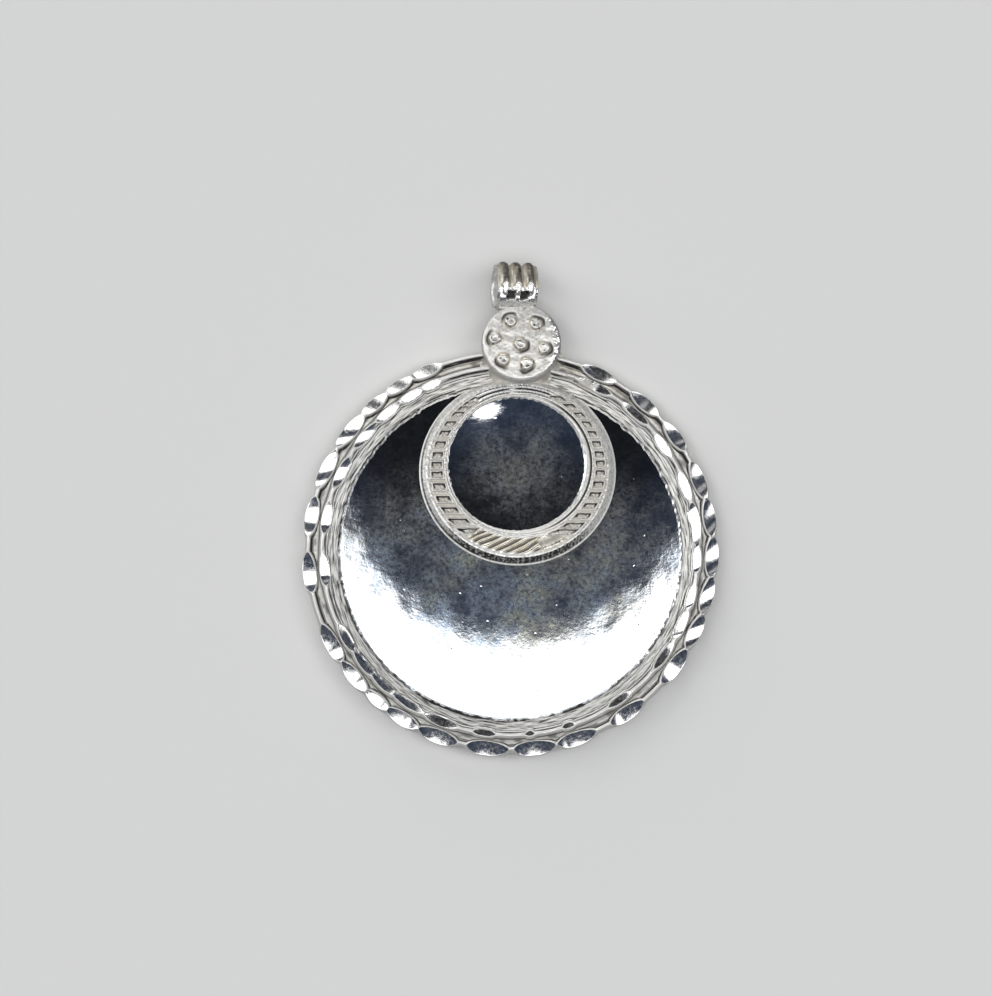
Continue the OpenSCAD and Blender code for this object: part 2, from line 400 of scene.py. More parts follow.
def cast_silver():
    """Cast and cut silver. The polish attribute goes from frosted to bright, stain adds the
    yellowish brown of solder, and the dark attribute turns the colour near black, for tarnish
    and for painted shade in grooves, pits and on sides turned from the light"""
    material, tree, shader, where, signs = start_material("cast_silver")
    polish = signs["polish"]
    grain = add_noise(tree, (-900, -200), where, 0.28, 3.0, 0.6)
    patches = add_noise(tree, (-900, 100), where, 1.4, 4.0, 0.65)
    speckle = add_noise(tree, (-900, -500), where, 0.34, 3.0, 0.6)

    rough = add_range(tree, (-600, 300), polish, 0, 1, 0.42, 0.09)
    spots = add_range(tree, (-600, -500), speckle, 0.44, 0.68, 0.0, 0.11)
    rough = add_math(tree, "ADD", (-300, 300), rough, spots)
    rough = add_math(tree, "MULTIPLY_ADD", (-150, 300), signs["shade_and_tarnish"], 0.25, rough)
    tree.links.new(rough, shader.inputs["Roughness"])
    metal = add_range(tree, (-600, 0), polish, 0.0, 0.7, 0.42, 0.98)
    flecked = add_range(tree, (-450, 0), speckle, 0.38, 0.64, 1.0, 0.93)
    metal = add_math(tree, "MULTIPLY", (-300, 0), metal, flecked)
    tree.links.new(metal, shader.inputs["Metallic"])

    clean = add_mix(tree, (-600, 600), polish, FROSTED, BRIGHT)
    spread = add_math(tree, "MULTIPLY", (-600, 850), signs["stain"], patches)
    spread = add_math(tree, "MULTIPLY", (-450, 850), spread, 1.5)
    warm = add_mix(tree, (-150, 600), spread, clean, SOLDER_YELLOW)
    # Tarnish and painted shade: near black where the dark attribute says
    colour = add_mix(tree, (150, 600), signs["shade_and_tarnish"], warm, TARNISH_AND_SHADE)
    tree.links.new(colour, shader.inputs["Base Color"])

    strength = add_range(tree, (-600, -200), polish, 0, 1, 0.85, 0.10)
    bump = add_bump(tree, (300, -300), strength, 0.045, grain)
    tree.links.new(bump, shader.inputs["Normal"])
    return material


def mirror_silver():
    """The polished mirrors: fine wrinkles, pinholes, and a cloudy bloom of tarnish, olive and
    blue, where stain says"""
    material, tree, shader, where, signs = start_material("mirror_silver")
    fine = add_noise(tree, (-900, -200), where, 0.42, 6.0, 0.85)
    cloud = add_noise(tree, (-900, 100), where, 3.6, 5.0, 0.62)
    tint = add_noise(tree, (-900, 400), where, 5.2, 4.0, 0.6)
    wrinkles = add_noise(tree, (-900, -450), where, 0.55, 4.0, 0.62)

    bloom = add_range(tree, (-600, -200), fine, 0.40, 0.62, 0.15, 1.90)
    thick = add_range(tree, (-600, 0), cloud, 0.38, 0.64, 0.25, 1.40)
    bloom = add_math(tree, "MULTIPLY", (-400, -100), bloom, thick)
    bloom = add_math(tree, "MULTIPLY", (-250, -100), bloom, signs["stain"])
    metal = add_math(tree, "MULTIPLY_ADD", (-100, 0), bloom, -0.30, 1.0)
    tree.links.new(metal, shader.inputs["Metallic"])
    rough = add_range(tree, (-600, 300), signs["polish"], 0, 1, 0.42, 0.06)
    rough = add_math(tree, "MULTIPLY_ADD", (-100, 300), bloom, 0.05, rough)
    tree.links.new(rough, shader.inputs["Roughness"])
    side = add_range(tree, (-600, 600), tint, 0.44, 0.60, 0.0, 1.0)
    film = add_mix(tree, (-350, 600), side, BLUE_FILM, OLIVE_FILM)
    colour = add_mix(tree, (-100, 600), bloom, MIRROR, film)
    tree.links.new(colour, shader.inputs["Base Color"])

    pits = add_node(tree, "ShaderNodeTexVoronoi", (-900, -700), Scale=1 / (1.9 * MM))
    tree.links.new(where, pits.inputs["Vector"])
    pits = add_range(tree, (-600, -700), pits.outputs["Distance"], 0.01, 0.08, 0.0, 1.0)
    bump = add_bump(tree, (0, -400), 0.5, 0.03, pits)
    bump = add_bump(tree, (300, -300), 0.17, 0.05, wrinkles, bump)
    tree.links.new(bump, shader.inputs["Normal"])
    return material


# The disc's two rim pieces

def around(angle, start, end):
    """Where angles lie between start and end, as -1 to 1, and beyond that outside them"""
    middle = (start + end) / 2
    off = (np.degrees(angle) - middle + 180) % 360 - 180
    return off / ((end - start) / 2)


def spread_at(angles, facets):
    """1 at the middle of each struck stretch, 0 where the ridge wasn't struck"""
    spread = np.zeros(angles.shape)
    for start, end, *_ in facets:
        t = around(angles, start, end)
        spread = np.maximum(spread, np.sqrt(np.maximum(1 - t ** 2, 0)))
    return spread


def strike(points, facet, crest, reach_in, reach_out):
    """Sinks the points of a ridge that one blow of the round tool takes away, and throws up a
    fine lip at the edge. Gives how far each point sank, and how much of the lip it carries"""
    start, end, lean, twist, shift, _, tool_r = (*facet, TOOL_R)[:7]
    crest_r, crest_z = crest
    half_chord = crest_r * math.sin(math.radians(end - start) / 2)
    sink = tool_r - math.sqrt(tool_r ** 2 - half_chord ** 2)
    middle = math.radians(start + end) / 2
    lean = math.radians(lean)
    out = np.array([math.cos(middle), math.sin(middle)])
    along = points[..., 0] * out[0] + points[..., 1] * out[1] - crest_r
    across = points[..., 1] * out[0] - points[..., 0] * out[1]
    up = points[..., 2] - (crest_z - sink)
    height = along * math.sin(lean) + up * math.cos(lean)
    reach = along * math.cos(lean) - up * math.sin(lean)
    turned = across - reach * math.tan(math.radians(twist))
    skew = crest_r * math.radians(shift)
    turned = turned - skew
    turned = turned * half_chord / np.where(turned > 0, half_chord - skew, half_chord + skew)
    surface = tool_r - np.sqrt(np.maximum(tool_r ** 2 - turned ** 2, 0))
    surface = surface + reach ** 2 / (2 * TOOL_DISH_R)
    near = (np.abs(across) < 0.9 * tool_r) & (along > -3)
    near = near & (reach > -reach_in) & (reach < reach_out)
    drop = np.where(near, np.maximum(height - surface, 0), 0)
    gap = np.where(near, np.maximum(surface - height, 0), 9) / TOOL_LIP_WIDTH
    lip = gap * np.exp(1 - gap)
    push = TOOL_LIP * lip - drop
    points[..., 0] += push * math.sin(lean) * out[0]
    points[..., 1] += push * math.sin(lean) * out[1]
    points[..., 2] += push * math.cos(lean)
    return drop, lip


def strike_all(rows, facets, crest, reach_in, reach_out):
    """Strikes every facet of a ridge. Gives how bright each point was cut, where nothing was cut,
    and the lips"""
    cut = np.zeros(rows.shape[:2])
    lips = np.zeros(rows.shape[:2])
    shine = np.zeros(rows.shape[:2])
    for facet in facets:
        drop, lip = strike(rows, facet, crest, reach_in, reach_out)
        cut += drop
        lips = np.maximum(lips, lip)
        shine = np.maximum(shine, facet[5] * smooth(0.0, CUT_DEPTH, drop))
    whole = cut < CUT_DEPTH
    return shine, whole, lips * whole


def streaks(rows, size, length, seed):
    """Noise drawn out round the disc, its features size wide and length long"""
    radius = np.hypot(rows[..., 0], rows[..., 1])
    squash = size / length
    around_disc = rows[..., :2] * squash
    return ripple(np.concatenate([radius[..., None], around_disc], axis=-1), size, seed, 70)


def ridge(middle_r, foot_in, foot_out, foot_z, crest_z, count):
    """A ridge's outline from its inner foot over its crest to its outer foot"""
    turn = np.linspace(-np.pi / 2, np.pi / 2, count)
    r = middle_r + np.where(turn < 0, (middle_r - foot_in), (foot_out - middle_r)) * np.sin(turn)
    return points_of(r, foot_z + (crest_z - foot_z) * np.cos(turn))


def sweep(plain, struck, spread, angles):
    """Rows round the disc that blend from one outline to the other where the rim is struck"""
    r = plain[:, :1] + (struck - plain)[:, :1] * spread
    z = plain[:, 1:] + (struck - plain)[:, 1:] * spread
    x, y = polar(r, angles)
    return points_of(x, y, z)


RIM_ANGLES = circle_of(RIM_STEPS)
RIM_CIRCLE = np.concatenate([np.cos(RIM_ANGLES), np.sin(RIM_ANGLES)]).T


def outer_rim(material):
    """The outer ridge with its facets, the outer wall and the flat foot"""
    count = 46
    heights = {"foot_z": OUTER_WALL_Z, "crest_z": OUTER_CREST_Z, "count": count}
    plain = ridge(middle_r=22.27, foot_in=21.80, foot_out=22.60, **heights)
    struck = ridge(middle_r=OUTER_CREST_R, foot_in=21.24, foot_out=22.96, **heights)
    for side in (plain, struck):
        side[:4, 1] = np.maximum(side[:4, 1], 1.6)
    hidden = [(22.35, 0.12), (FOOT_R, 0), (19.5, 0), (18.05, 0.02), (18.05, 0.6), (20.9, 0.9)]
    plain_low = resample([(22.57, 1.2), *hidden], 0.6)
    struck_low = resample([(22.9, 1.15), *hidden], 0.6)
    low_count = min(len(plain_low), len(struck_low))
    plain = np.vstack([plain, plain_low[:1], plain_low[-low_count + 1:], [(21.1, 1.3)]])
    struck = np.vstack([struck, struck_low[:1], struck_low[-low_count + 1:], [(21.1, 1.3)]])
    spread = spread_at(RIM_ANGLES, OUTER_FACETS)
    rows = sweep(plain, struck, spread, RIM_ANGLES)
    top = smooth(1.3, 2.0, rows[..., 2])
    rows[..., 2] += 0.022 * ripple(RIM_CIRCLE, 0.3, 11)[None, :] * top
    rows[..., 2] += 0.010 * ripple(rows, 0.5, 12) * top
    turn = np.full((len(rows), 1), 9.0)
    turn[:count, 0] = np.linspace(-90, 90, count)
    crest = (OUTER_CREST_R, OUTER_CREST_Z)
    shine, whole, lips = strike_all(rows, OUTER_FACETS, crest, 0.98, 2)
    flank = plateau(-88, -78, -34, -20, turn) * whole
    white = plateau(-30, -15, 62, 75, turn) * whole
    rough = streaks(rows, 0.16, 2.0, 13)
    polish = highest(shine, 0.14 * lips, white * (0.14 + 0.1 * rough))
    # Tarnish and painted shade darken the ridge's inner flank, down into the valley
    shade_and_tarnish = 1.3 * flank * (0.85 + 0.25 * rough) * (1 - np.clip(1.2 * lips, 0, 1))
    stain = 0.15 * (1 - polish)
    make_piece("outer_rim", rows, material, True, polish, stain, shade_and_tarnish)


FIELD_STEP = resample([(18.35, 0.8), (18.66, 1.06), (18.98, 1.42)], 0.09)
BAND_ROWS = 22
WIRE_ROWS = 7
RIDGE_ROWS = 22


def inner_rim_outline(push):
    """The inner rim's outline, from the field outwards, where the ridge wasn't struck, or with
    push at 1 where a blow spread it and pushed the wire inwards"""
    wire_r = WIRE_R - WIRE_PUSH * push
    band = np.linspace(FIELD_STEP[-1], (wire_r - 0.13, 1.70), BAND_ROWS + 1)[1:]
    turn = np.linspace(0, np.pi, WIRE_ROWS)
    wire = points_of(wire_r - 0.09 * np.cos(turn), 1.72 + 0.15 * np.sin(turn))
    crest = ridge(middle_r=INNER_CREST_R + 0.02, foot_in=20.38 - 0.30 * push,
                  foot_out=21.05 + 0.18 * push, foot_z=VALLEY_Z - 0.1, crest_z=INNER_CREST_Z,
                  count=RIDGE_ROWS)
    valley = [(21.32, VALLEY_Z - 0.02), (21.5, VALLEY_Z), (21.72, VALLEY_Z), (21.8, 1.3),
              (20, 0.9), (18.6, 0.5)]
    return np.vstack([FIELD_STEP, band, wire, crest, valley])


def inner_rim(material):
    """The step at the field's edge, the frosted band, the fine wire, the inner ridge with its
    facets and spilled solder, and the valley outside it"""
    spread = spread_at(RIM_ANGLES, INNER_FACETS)
    rows = sweep(inner_rim_outline(0), inner_rim_outline(1), spread, RIM_ANGLES)
    step_end = len(FIELD_STEP)
    band_end = step_end + BAND_ROWS
    wire_end = band_end + WIRE_ROWS
    crest_end = wire_end + RIDGE_ROWS
    index = np.arange(len(rows))[:, None]
    on_step = (index > 1) & (index < step_end)
    on_band = (index >= step_end) & (index < band_end)
    on_wire = (index >= band_end) & (index < wire_end)
    on_ridge = (index >= wire_end) & (index < crest_end)
    on_valley = (index >= crest_end) & (index < crest_end + 3)

    ragged = 0.07 * ripple(RIM_CIRCLE, 0.045, 21, 60) + 0.06 * ripple(RIM_CIRCLE, 0.25, 22)
    grow = 1 + on_step * ragged[None, :] / FIELD_R
    rows[..., 0] *= grow
    rows[..., 1] *= grow
    fine = streaks(rows, 0.10, 1.8, 25)
    broad = streaks(rows, 0.26, 4.0, 26)
    rows[..., 2] += on_band * (0.016 * fine + 0.018 * broad)
    rows[..., 2] += on_wire * 0.03 * ripple(RIM_CIRCLE, 0.06, 23)[None, :]
    rows[..., 2] += 0.02 * on_valley * (ripple(rows, 0.4, 27) + fine)
    crest = (INNER_CREST_R, INNER_CREST_Z)
    shine, whole, lips = strike_all(rows, INNER_FACETS, crest, 0.66, 0.62)

    degrees = np.degrees(RIM_ANGLES)
    spill = plateau(61, 65, 71, 76, degrees) * (on_wire | on_ridge)
    spill = spill * smooth(-0.3, 0.2, ripple(rows, 1.3, 30))
    rows[..., 2] += 0.20 * spill
    shine = shine * (1 - spill)

    ridge_turn = np.full((len(rows), 1), 99.0)
    ridge_turn[wire_end:crest_end, 0] = np.linspace(-90, 90, RIDGE_ROWS)
    flank = plateau(-89, -80, -42, -28, ridge_turn) * whole
    white = plateau(-34, -20, 55, 70, ridge_turn) * whole * on_ridge
    foot = on_ridge * smooth(66, 80, ridge_turn) * whole
    notch = smooth(0.1, 0.8, ripple(RIM_CIRCLE, 0.35, 28) + 0.4 * ripple(RIM_CIRCLE, 0.05, 29))
    south = smooth(0.2, 0.75, -RIM_CIRCLE[:, 1])
    edge = bump_at(index, step_end - 1.5, 1.1 + 1.9 * (notch * south)[None, :])
    polish = highest(shine, 0.14 * lips * on_ridge, white * (0.14 + 0.1 * fine), 0.35 * on_wire,
                     0.55 * on_step)
    polish = polish + 0.18 * on_band * smooth(0.3, 0.9, fine) + 0.30 * on_valley * (fine > 0.4)
    gap = (index == band_end) | (index == band_end - 1) | (index == wire_end - 1)
    # Tarnish and painted shade darken the ridge's inner flank, its outer foot and the seams beside
    # the wire
    shade_and_tarnish = 1.1 * flank * (0.85 + 0.25 * fine) * (1 - np.clip(1.6 * lips, 0, 1)) + 0.9 * foot
    shade_and_tarnish += 0.9 * gap + on_band * (0.75 * smooth(-0.1, 0.7, -fine) + 0.4 * smooth(0, 0.9, -broad))
    # Painted shade: a dark line where the field meets the rim, wider and more ragged towards the
    # south
    shade_and_tarnish += 1.5 * edge * smooth(-0.6, 0.2, notch + 0.5 * fine)
    # Dark streaks in the valley, darker towards the south
    shade_and_tarnish += on_valley * (0.10 + 0.1 * south[None, :] + 0.55 * smooth(0.1, 0.9, -fine))
    north = smooth(0.55, 0.9, RIM_CIRCLE[:, 1])[None, :]
    stain = 0.12 * (1 - polish) + (0.10 + 0.35 * north) * on_valley + 0.15 * north * on_band
    polish = np.maximum(polish, 0.3 * spill)
    stain = stain + 0.3 * spill
    shade_and_tarnish = shade_and_tarnish * (1 - 0.8 * spill)
    make_piece("inner_rim", rows, material, True, polish, stain, shade_and_tarnish)


# The field, with a hole under the moon ring

def dome_z(x, y):
    top = FIELD_EDGE_Z + FIELD_RISE
    return top - DOME_R + np.sqrt(DOME_R ** 2 - x ** 2 - y ** 2)


def sheet_round_moon(inner, outer, places):
    """x and y on rays from the moon ring's middle, from a circle round it at place 0 to one round
    the disc's middle at place 1"""
    angles = circle_of(FIELD_STEPS)
    end = ray_to_circle(angles, (MOON_X, MOON_Y), (0, 0), outer)
    x, y = polar(inner + (end - inner) * places[:, None], angles)
    return x + MOON_X, y + MOON_Y


def domed_field(material):
    """The domed mirror round the moon ring, and the hollow back under it"""
    x, y = sheet_round_moon(9.0, FIELD_R + 0.15, np.linspace(0, 1, 60))
    flat = points_of(x, y)
    z = dome_z(x, y) + 0.006 * ripple(flat, 3.2, 31) + 0.0012 * ripple(flat, 0.9, 32)
    top = points_of(x, y, z)
    x, y = sheet_round_moon(8.2, 18.12, np.linspace(1, 0, 10))
    z = HOLLOW_DEPTH - HOLLOW_BALL_R + np.sqrt(HOLLOW_BALL_R ** 2 - x ** 2 - y ** 2)
    back = points_of(x, y, z)
    rows = np.concatenate([top, back])
    polish = np.concatenate([np.ones(top.shape[:2]), np.full(back.shape[:2], 0.2)])
    bloom = 0.04 + 0.66 * smooth(11, -2, rows[..., 1])
    bloom *= 1 - 0.45 * smooth(9, 17, np.hypot(rows[..., 0], rows[..., 1]))
    make_piece("domed_field", rows, material, True, polish, bloom)


# The moon ring and its mirror

LADDER_OUT = (MOON_X + 0.15, MOON_Y - 0.2, 9.78)
LADDER_IN = (MOON_X + 0.27, MOON_Y + 0.45, 8.27)


def moon_plane(y):
    return MOON_Z - (y - MOON_Y) * math.tan(MOON_TILT)


def nearest_cell(x, y, t, flat):
    """How far out of its nearest cell each point lies, 1 at the cell's edge, and how far up in
    that cell, from -1 to 1"""
    wobble = 0.05 * ripple(flat, 0.9, 44)
    reach = 9.2
    cell = np.full(x.shape, 9.0)
    upwards = np.zeros(x.shape)
    for side, cells in ((1, CELLS_RIGHT), (-1, CELLS_LEFT)):
        for middle in cells:
            y_cell = MOON_Y + reach * math.sin(math.radians(middle))
            half = 0.46 * (0.55 + 0.45 * abs(math.cos(math.radians(middle))))
            box = np.maximum(np.abs(y - y_cell) / half, np.abs(t - 0.5) / 0.44) + wobble
            box = np.where(side * (x - MOON_X) > 0.6, box, 9)
            upwards = np.where(box < cell, (y - y_cell) / half, upwards)
            cell = np.minimum(cell, box)
    return cell, upwards


def ladder_cells(x, y, t, flat):
    """Height, polish, stain and darkening of the sunk cells, their bright rims and the rungs. The
    darkening is tarnish on the floors, and painted shade along each cell's upper side and just
    outside its rim
    """
    cell, upwards = nearest_cell(x, y, t, flat)
    floor_part = 1 - smooth(0.64, 0.80, cell)
    rim_part = bump_at(cell, 0.92, 0.13)
    rung = (1 - floor_part) * (1 - rim_part)
    grit = ripple(flat, 0.35, 45)
    height = -0.24 * floor_part + 0.13 * rim_part + 0.02 * grit
    polish = 0.05 + 0.10 * rim_part + 0.10 * floor_part * smooth(-0.2, 0.8, grit)
    stain = 0.6 * rung + 0.5 * floor_part
    # Painted shade along each cell's upper edge, and a painted dark line just outside its rim
    shadow = bump_at(cell, 0.70, 0.12) * smooth(-0.6, 0.4, upwards)
    shade_and_tarnish = floor_part * 0.4 * smooth(-0.1, 0.8, -grit) + 1.6 * shadow
    shade_and_tarnish += 0.7 * bump_at(cell, 1.12, 0.06)
    return height, polish, stain, shade_and_tarnish


def ladder_strokes(look, x, y, t, degrees, flat):
    """The slanting strokes at the ladder's bottom, and the plain groove right of them"""
    height, polish, stain, shade_and_tarnish = look
    slant = math.radians(27)
    pitch = 0.66
    across = (y - MOON_Y) * math.cos(slant) - (x - MOON_X) * math.sin(slant)
    strokes = np.sin(across * 2 * np.pi / pitch + 0.8 * ripple(flat, 2.4, 42))
    bottom = plateau(-126, -120, -76, -72, degrees)
    mix = bottom * plateau(0.04, 0.16, 0.84, 0.96, t)
    height = height * (1 - bottom) + mix * 0.09 * strokes
    polish = polish * (1 - bottom) + mix * (0.30 + 0.45 * smooth(0.3, 0.9, strokes)) + 0.1 * bottom
    stain = stain * (1 - bottom) + mix * 0.9
    # Painted shade in the grooves between the strokes
    shade_and_tarnish = shade_and_tarnish * (1 - bottom) + mix * 0.9 * smooth(0.35, 0.9, -strokes)

    sliver = plateau(-75, -72, -59, -56, degrees)
    groove = bump_at(t, 0.5, 0.16)
    lines = bump_at(t, 0.8, 0.1) + bump_at(t, 0.2, 0.1)
    height += sliver * (0.06 * lines - 0.1 * groove)
    polish += sliver * 0.5 * lines
    # Painted shade in the plain groove
    shade_and_tarnish = shade_and_tarnish * (1 - 0.7 * sliver) + sliver * 0.4 * groove
    return height, polish, stain, shade_and_tarnish


def ladder_wires(look, t, degrees):
    """The two plain wires at the ladder's top"""
    height, polish, stain, shade_and_tarnish = look
    plain = (1 - smooth(24, 29, np.abs(degrees - 92))) * (degrees > 0)
    wires = np.abs(np.sin(np.clip(t, 0, 1) * 2 * np.pi))
    joint = 1 - bump_at(degrees, 93, 2.5)
    height = height * (1 - plain) + plain * 0.24 * (wires - 0.5)
    polish = polish * (1 - plain) + plain * 0.65
    stain = stain * (1 - plain)
    # Painted shade in the gap between the two wires, except at the joint
    shade_and_tarnish = shade_and_tarnish * (1 - plain) + plain * joint * smooth(0.75, 0.25, wires)
    return height, polish, stain, shade_and_tarnish


def ladder_relief(x, y):
    """Height, polish, stain and darkening, tarnish with painted shade, of the ladder band. t runs
    from 0 at its inner edge to 1 at its outer edge"""
    from_out = LADDER_OUT[2] - np.hypot(x - LADDER_OUT[0], y - LADDER_OUT[1])
    from_in = np.hypot(x - LADDER_IN[0], y - LADDER_IN[1]) - LADDER_IN[2]
    t = from_in / np.maximum(from_in + from_out, 0.01)
    degrees = np.degrees(np.arctan2(y - MOON_Y, x - MOON_X))
    inside = (from_out > 0) & (from_in > 0)
    flat = points_of(x, y)
    look = ladder_cells(x, y, t, flat)
    look = ladder_strokes(look, x, y, t, degrees, flat)
    height, polish, stain, shade_and_tarnish = ladder_wires(look, t, degrees)
    return height * inside, polish, stain, np.clip(shade_and_tarnish, 0, 1) * inside


# Circles of the moon ring from its foot to its wall: the mesh's steps that lead to each, its
# middle, its radius, if it lies on the field and not on the ring's plane, and how high over that
RING_CIRCLES = (
    (0, (0.8, 8.9), 10.94, True, -0.25),
    (3, (0.8, 8.9), 10.84, True, 0.08),
    (3, (0.8, 8.9), 10.72, True, 0.12),
    (5, (0.78, 8.85), 10.25, False, -0.26),
    (2, (0.78, 8.82), 10.08, False, -0.03),
    (4, LADDER_OUT[:2], LADDER_OUT[2] + 0.08, False, 0.03),
    (1, LADDER_OUT[:2], LADDER_OUT[2], False, -0.03),
    (28, LADDER_IN[:2], LADDER_IN[2], False, -0.03),
    (2, LADDER_IN[:2], LADDER_IN[2] - 0.10, False, 0.08),
    (2, LADDER_IN[:2], LADDER_IN[2] - 0.22, False, 0.02),
    (1, (LADDER_IN[0] - 0.03, LADDER_IN[1]), LADDER_IN[2] - 0.34, False, -0.18),
    (1, (LADDER_IN[0] - 0.06, LADDER_IN[1]), LADDER_IN[2] - 0.45, False, -0.02),
)
CIRCLE_ROWS = np.cumsum([circle[0] for circle in RING_CIRCLES])
FOOT_ROW, FLANK_ROW = CIRCLE_ROWS[2], CIRCLE_ROWS[4]
LADDER_ROW, LADDER_END_ROW = CIRCLE_ROWS[6], CIRCLE_ROWS[7]
GROOVE_ROW = CIRCLE_ROWS[9] - 1
COLLAR_STEPS, WALL_STEPS = 5, 7
WALL_ROW = CIRCLE_ROWS[-1] + COLLAR_STEPS


def circle_from_moon(angles, middle, radius):
    """x and y where rays from the moon ring's middle meet a circle"""
    x, y = polar(ray_to_circle(angles, (MOON_X, MOON_Y), middle, radius), angles)
    return x + MOON_X, y + MOON_Y


def lines_between(a, b, count):
    """Lines of points that lead from a to b, without a"""
    return [a + (b - a) * k / count for k in range(1, count + 1)]


def moon_ring_rows(angles):
    """The moon ring's rows, smooth as yet: the foot, the flank, the ladder band, the collar, the
    wall down to the mirror, and two hidden rows"""
    lines = []
    for _, middle, radius, on_field, height in RING_CIRCLES:
        x, y = circle_from_moon(angles, middle, radius)
        z = (dome_z(x, y) if on_field else moon_plane(y)) + height
        lines.append(points_of(x, y, z))
    rows = [lines[0]]
    for a, b, (steps, *_) in zip(lines[:-1], lines[1:], RING_CIRCLES[1:]):
        rows += lines_between(a, b, steps)
    x, y = circle_from_moon(angles, (DISH_X, DISH_Y), DISH_R)
    low = points_of(x, y, np.full(x.shape, DISH_EDGE_Z - 0.02))
    high_z = moon_plane(low[..., 1]) - 0.05
    flare = np.minimum(DISH_R + DISH_FLARE * (high_z - DISH_EDGE_Z), 7.75)
    x, y = circle_from_moon(angles, (DISH_X, DISH_Y), flare)
    high = points_of(x, y, high_z)
    rows += lines_between(rows[-1], high, COLLAR_STEPS)
    rows += lines_between(high, low, WALL_STEPS)
    hidden_in = low + (low - np.array([DISH_X, DISH_Y, 0])) * np.array([0.08, 0.08, 0])
    hidden_in[..., 2] = 1.9
    hidden_out = rows[0].copy()
    hidden_out[..., 2] -= 0.3
    rows += [hidden_in, hidden_out]
    return np.concatenate([row.reshape(1, -1, 3) for row in rows])


def moon_ring(material):
    """The ring with its ladder, its ragged foot and wall, its tarnish, and painted shade on the
    south flank, in its creases and in the groove
    """
    angles = circle_of(RING_STEPS)
    rows = moon_ring_rows(angles)
    index = np.arange(len(rows))[:, None]
    seen = index < len(rows) - 2
    foot = (index > 0) & (index <= FOOT_ROW)
    foot_line = (index == FOOT_ROW + 1) | (index == FOOT_ROW + 2)
    flank = (index > FOOT_ROW) & (index <= FLANK_ROW)
    collar_out = (index > FLANK_ROW) & (index < LADDER_ROW)
    edge_line = (index == LADDER_ROW - 1) | (index == LADDER_ROW - 2)
    band = ((index >= LADDER_ROW) & (index <= LADDER_END_ROW)) * 1.0
    rail = (index >= LADDER_END_ROW) & (index <= GROOVE_ROW)
    groove = (index > GROOVE_ROW) & (index <= GROOVE_ROW + 2)
    wall = (index > WALL_ROW) & seen

    height, polish, stain, shade_and_tarnish = ladder_relief(rows[..., 0], rows[..., 1])
    rows[..., 2] += height * band
    ragged = ripple(rows, 0.35, 41)
    fine = ripple(rows, 0.16, 46)
    rows[..., 2] += (0.022 + 0.018 * flank - 0.014 * foot) * ragged * (1 - band) * seen
    inwards = 1 + 0.008 * ripple(rows, 0.6, 43) * wall
    rows[..., 0] = DISH_X + (rows[..., 0] - DISH_X) * inwards
    rows[..., 1] = DISH_Y + (rows[..., 1] - DISH_Y) * inwards

    degrees = np.degrees(angles)
    south = plateau(215, 240, 300, 325, degrees)
    west = plateau(140, 165, 235, 250, degrees)
    east = np.where(degrees > 180, smooth(285, 310, degrees), 1 - smooth(50, 75, degrees))
    north_east = plateau(5, 25, 80, 95, degrees)
    plain_polish = 0.14 - 0.15 * foot + 0.3 * rail + wall * (0.4 - 0.35 * north_east)
    plain_polish = plain_polish + 0.1 * collar_out + 0.12 * fine
    patches = smooth(0.35, 0.8, ripple(rows, 0.5, 47))
    # Painted shade: the flank darkens strongly on the south side, with some darkening all round
    plain_shade_and_tarnish = flank * (0.35 * smooth(0.0, 0.7, ragged) + (0.9 + 0.5 * ragged) * south)
    # Painted shade in the groove inside the rail, strongest to the east, and in the groove between
    # foot and flank on the west
    plain_shade_and_tarnish = plain_shade_and_tarnish + 1.0 * groove * (0.25 + 0.75 * east) + 0.8 * foot_line * west
    # Painted shade in the crease at the ladder's outer edge, except to the south
    plain_shade_and_tarnish = plain_shade_and_tarnish + 0.45 * edge_line * (1 - south) * smooth(-0.4, 0.4, ragged)
    # Dark patches on the wall, heavier towards the south and lighter to the north-east
    plain_shade_and_tarnish = plain_shade_and_tarnish + (0.45 + 0.5 * south - 0.4 * north_east) * wall * patches
    polish = polish * band + (1 - band) * plain_polish
    stain = stain * band + (1 - band) * 0.15
    shade_and_tarnish = shade_and_tarnish * band + (1 - band) * plain_shade_and_tarnish
    make_piece("moon_ring", rows, material, True, polish, stain, shade_and_tarnish)


# The middle of the mirror's raised corner, from the mirror's middle
RAISED_X, RAISED_Y = -3.77, 7.16


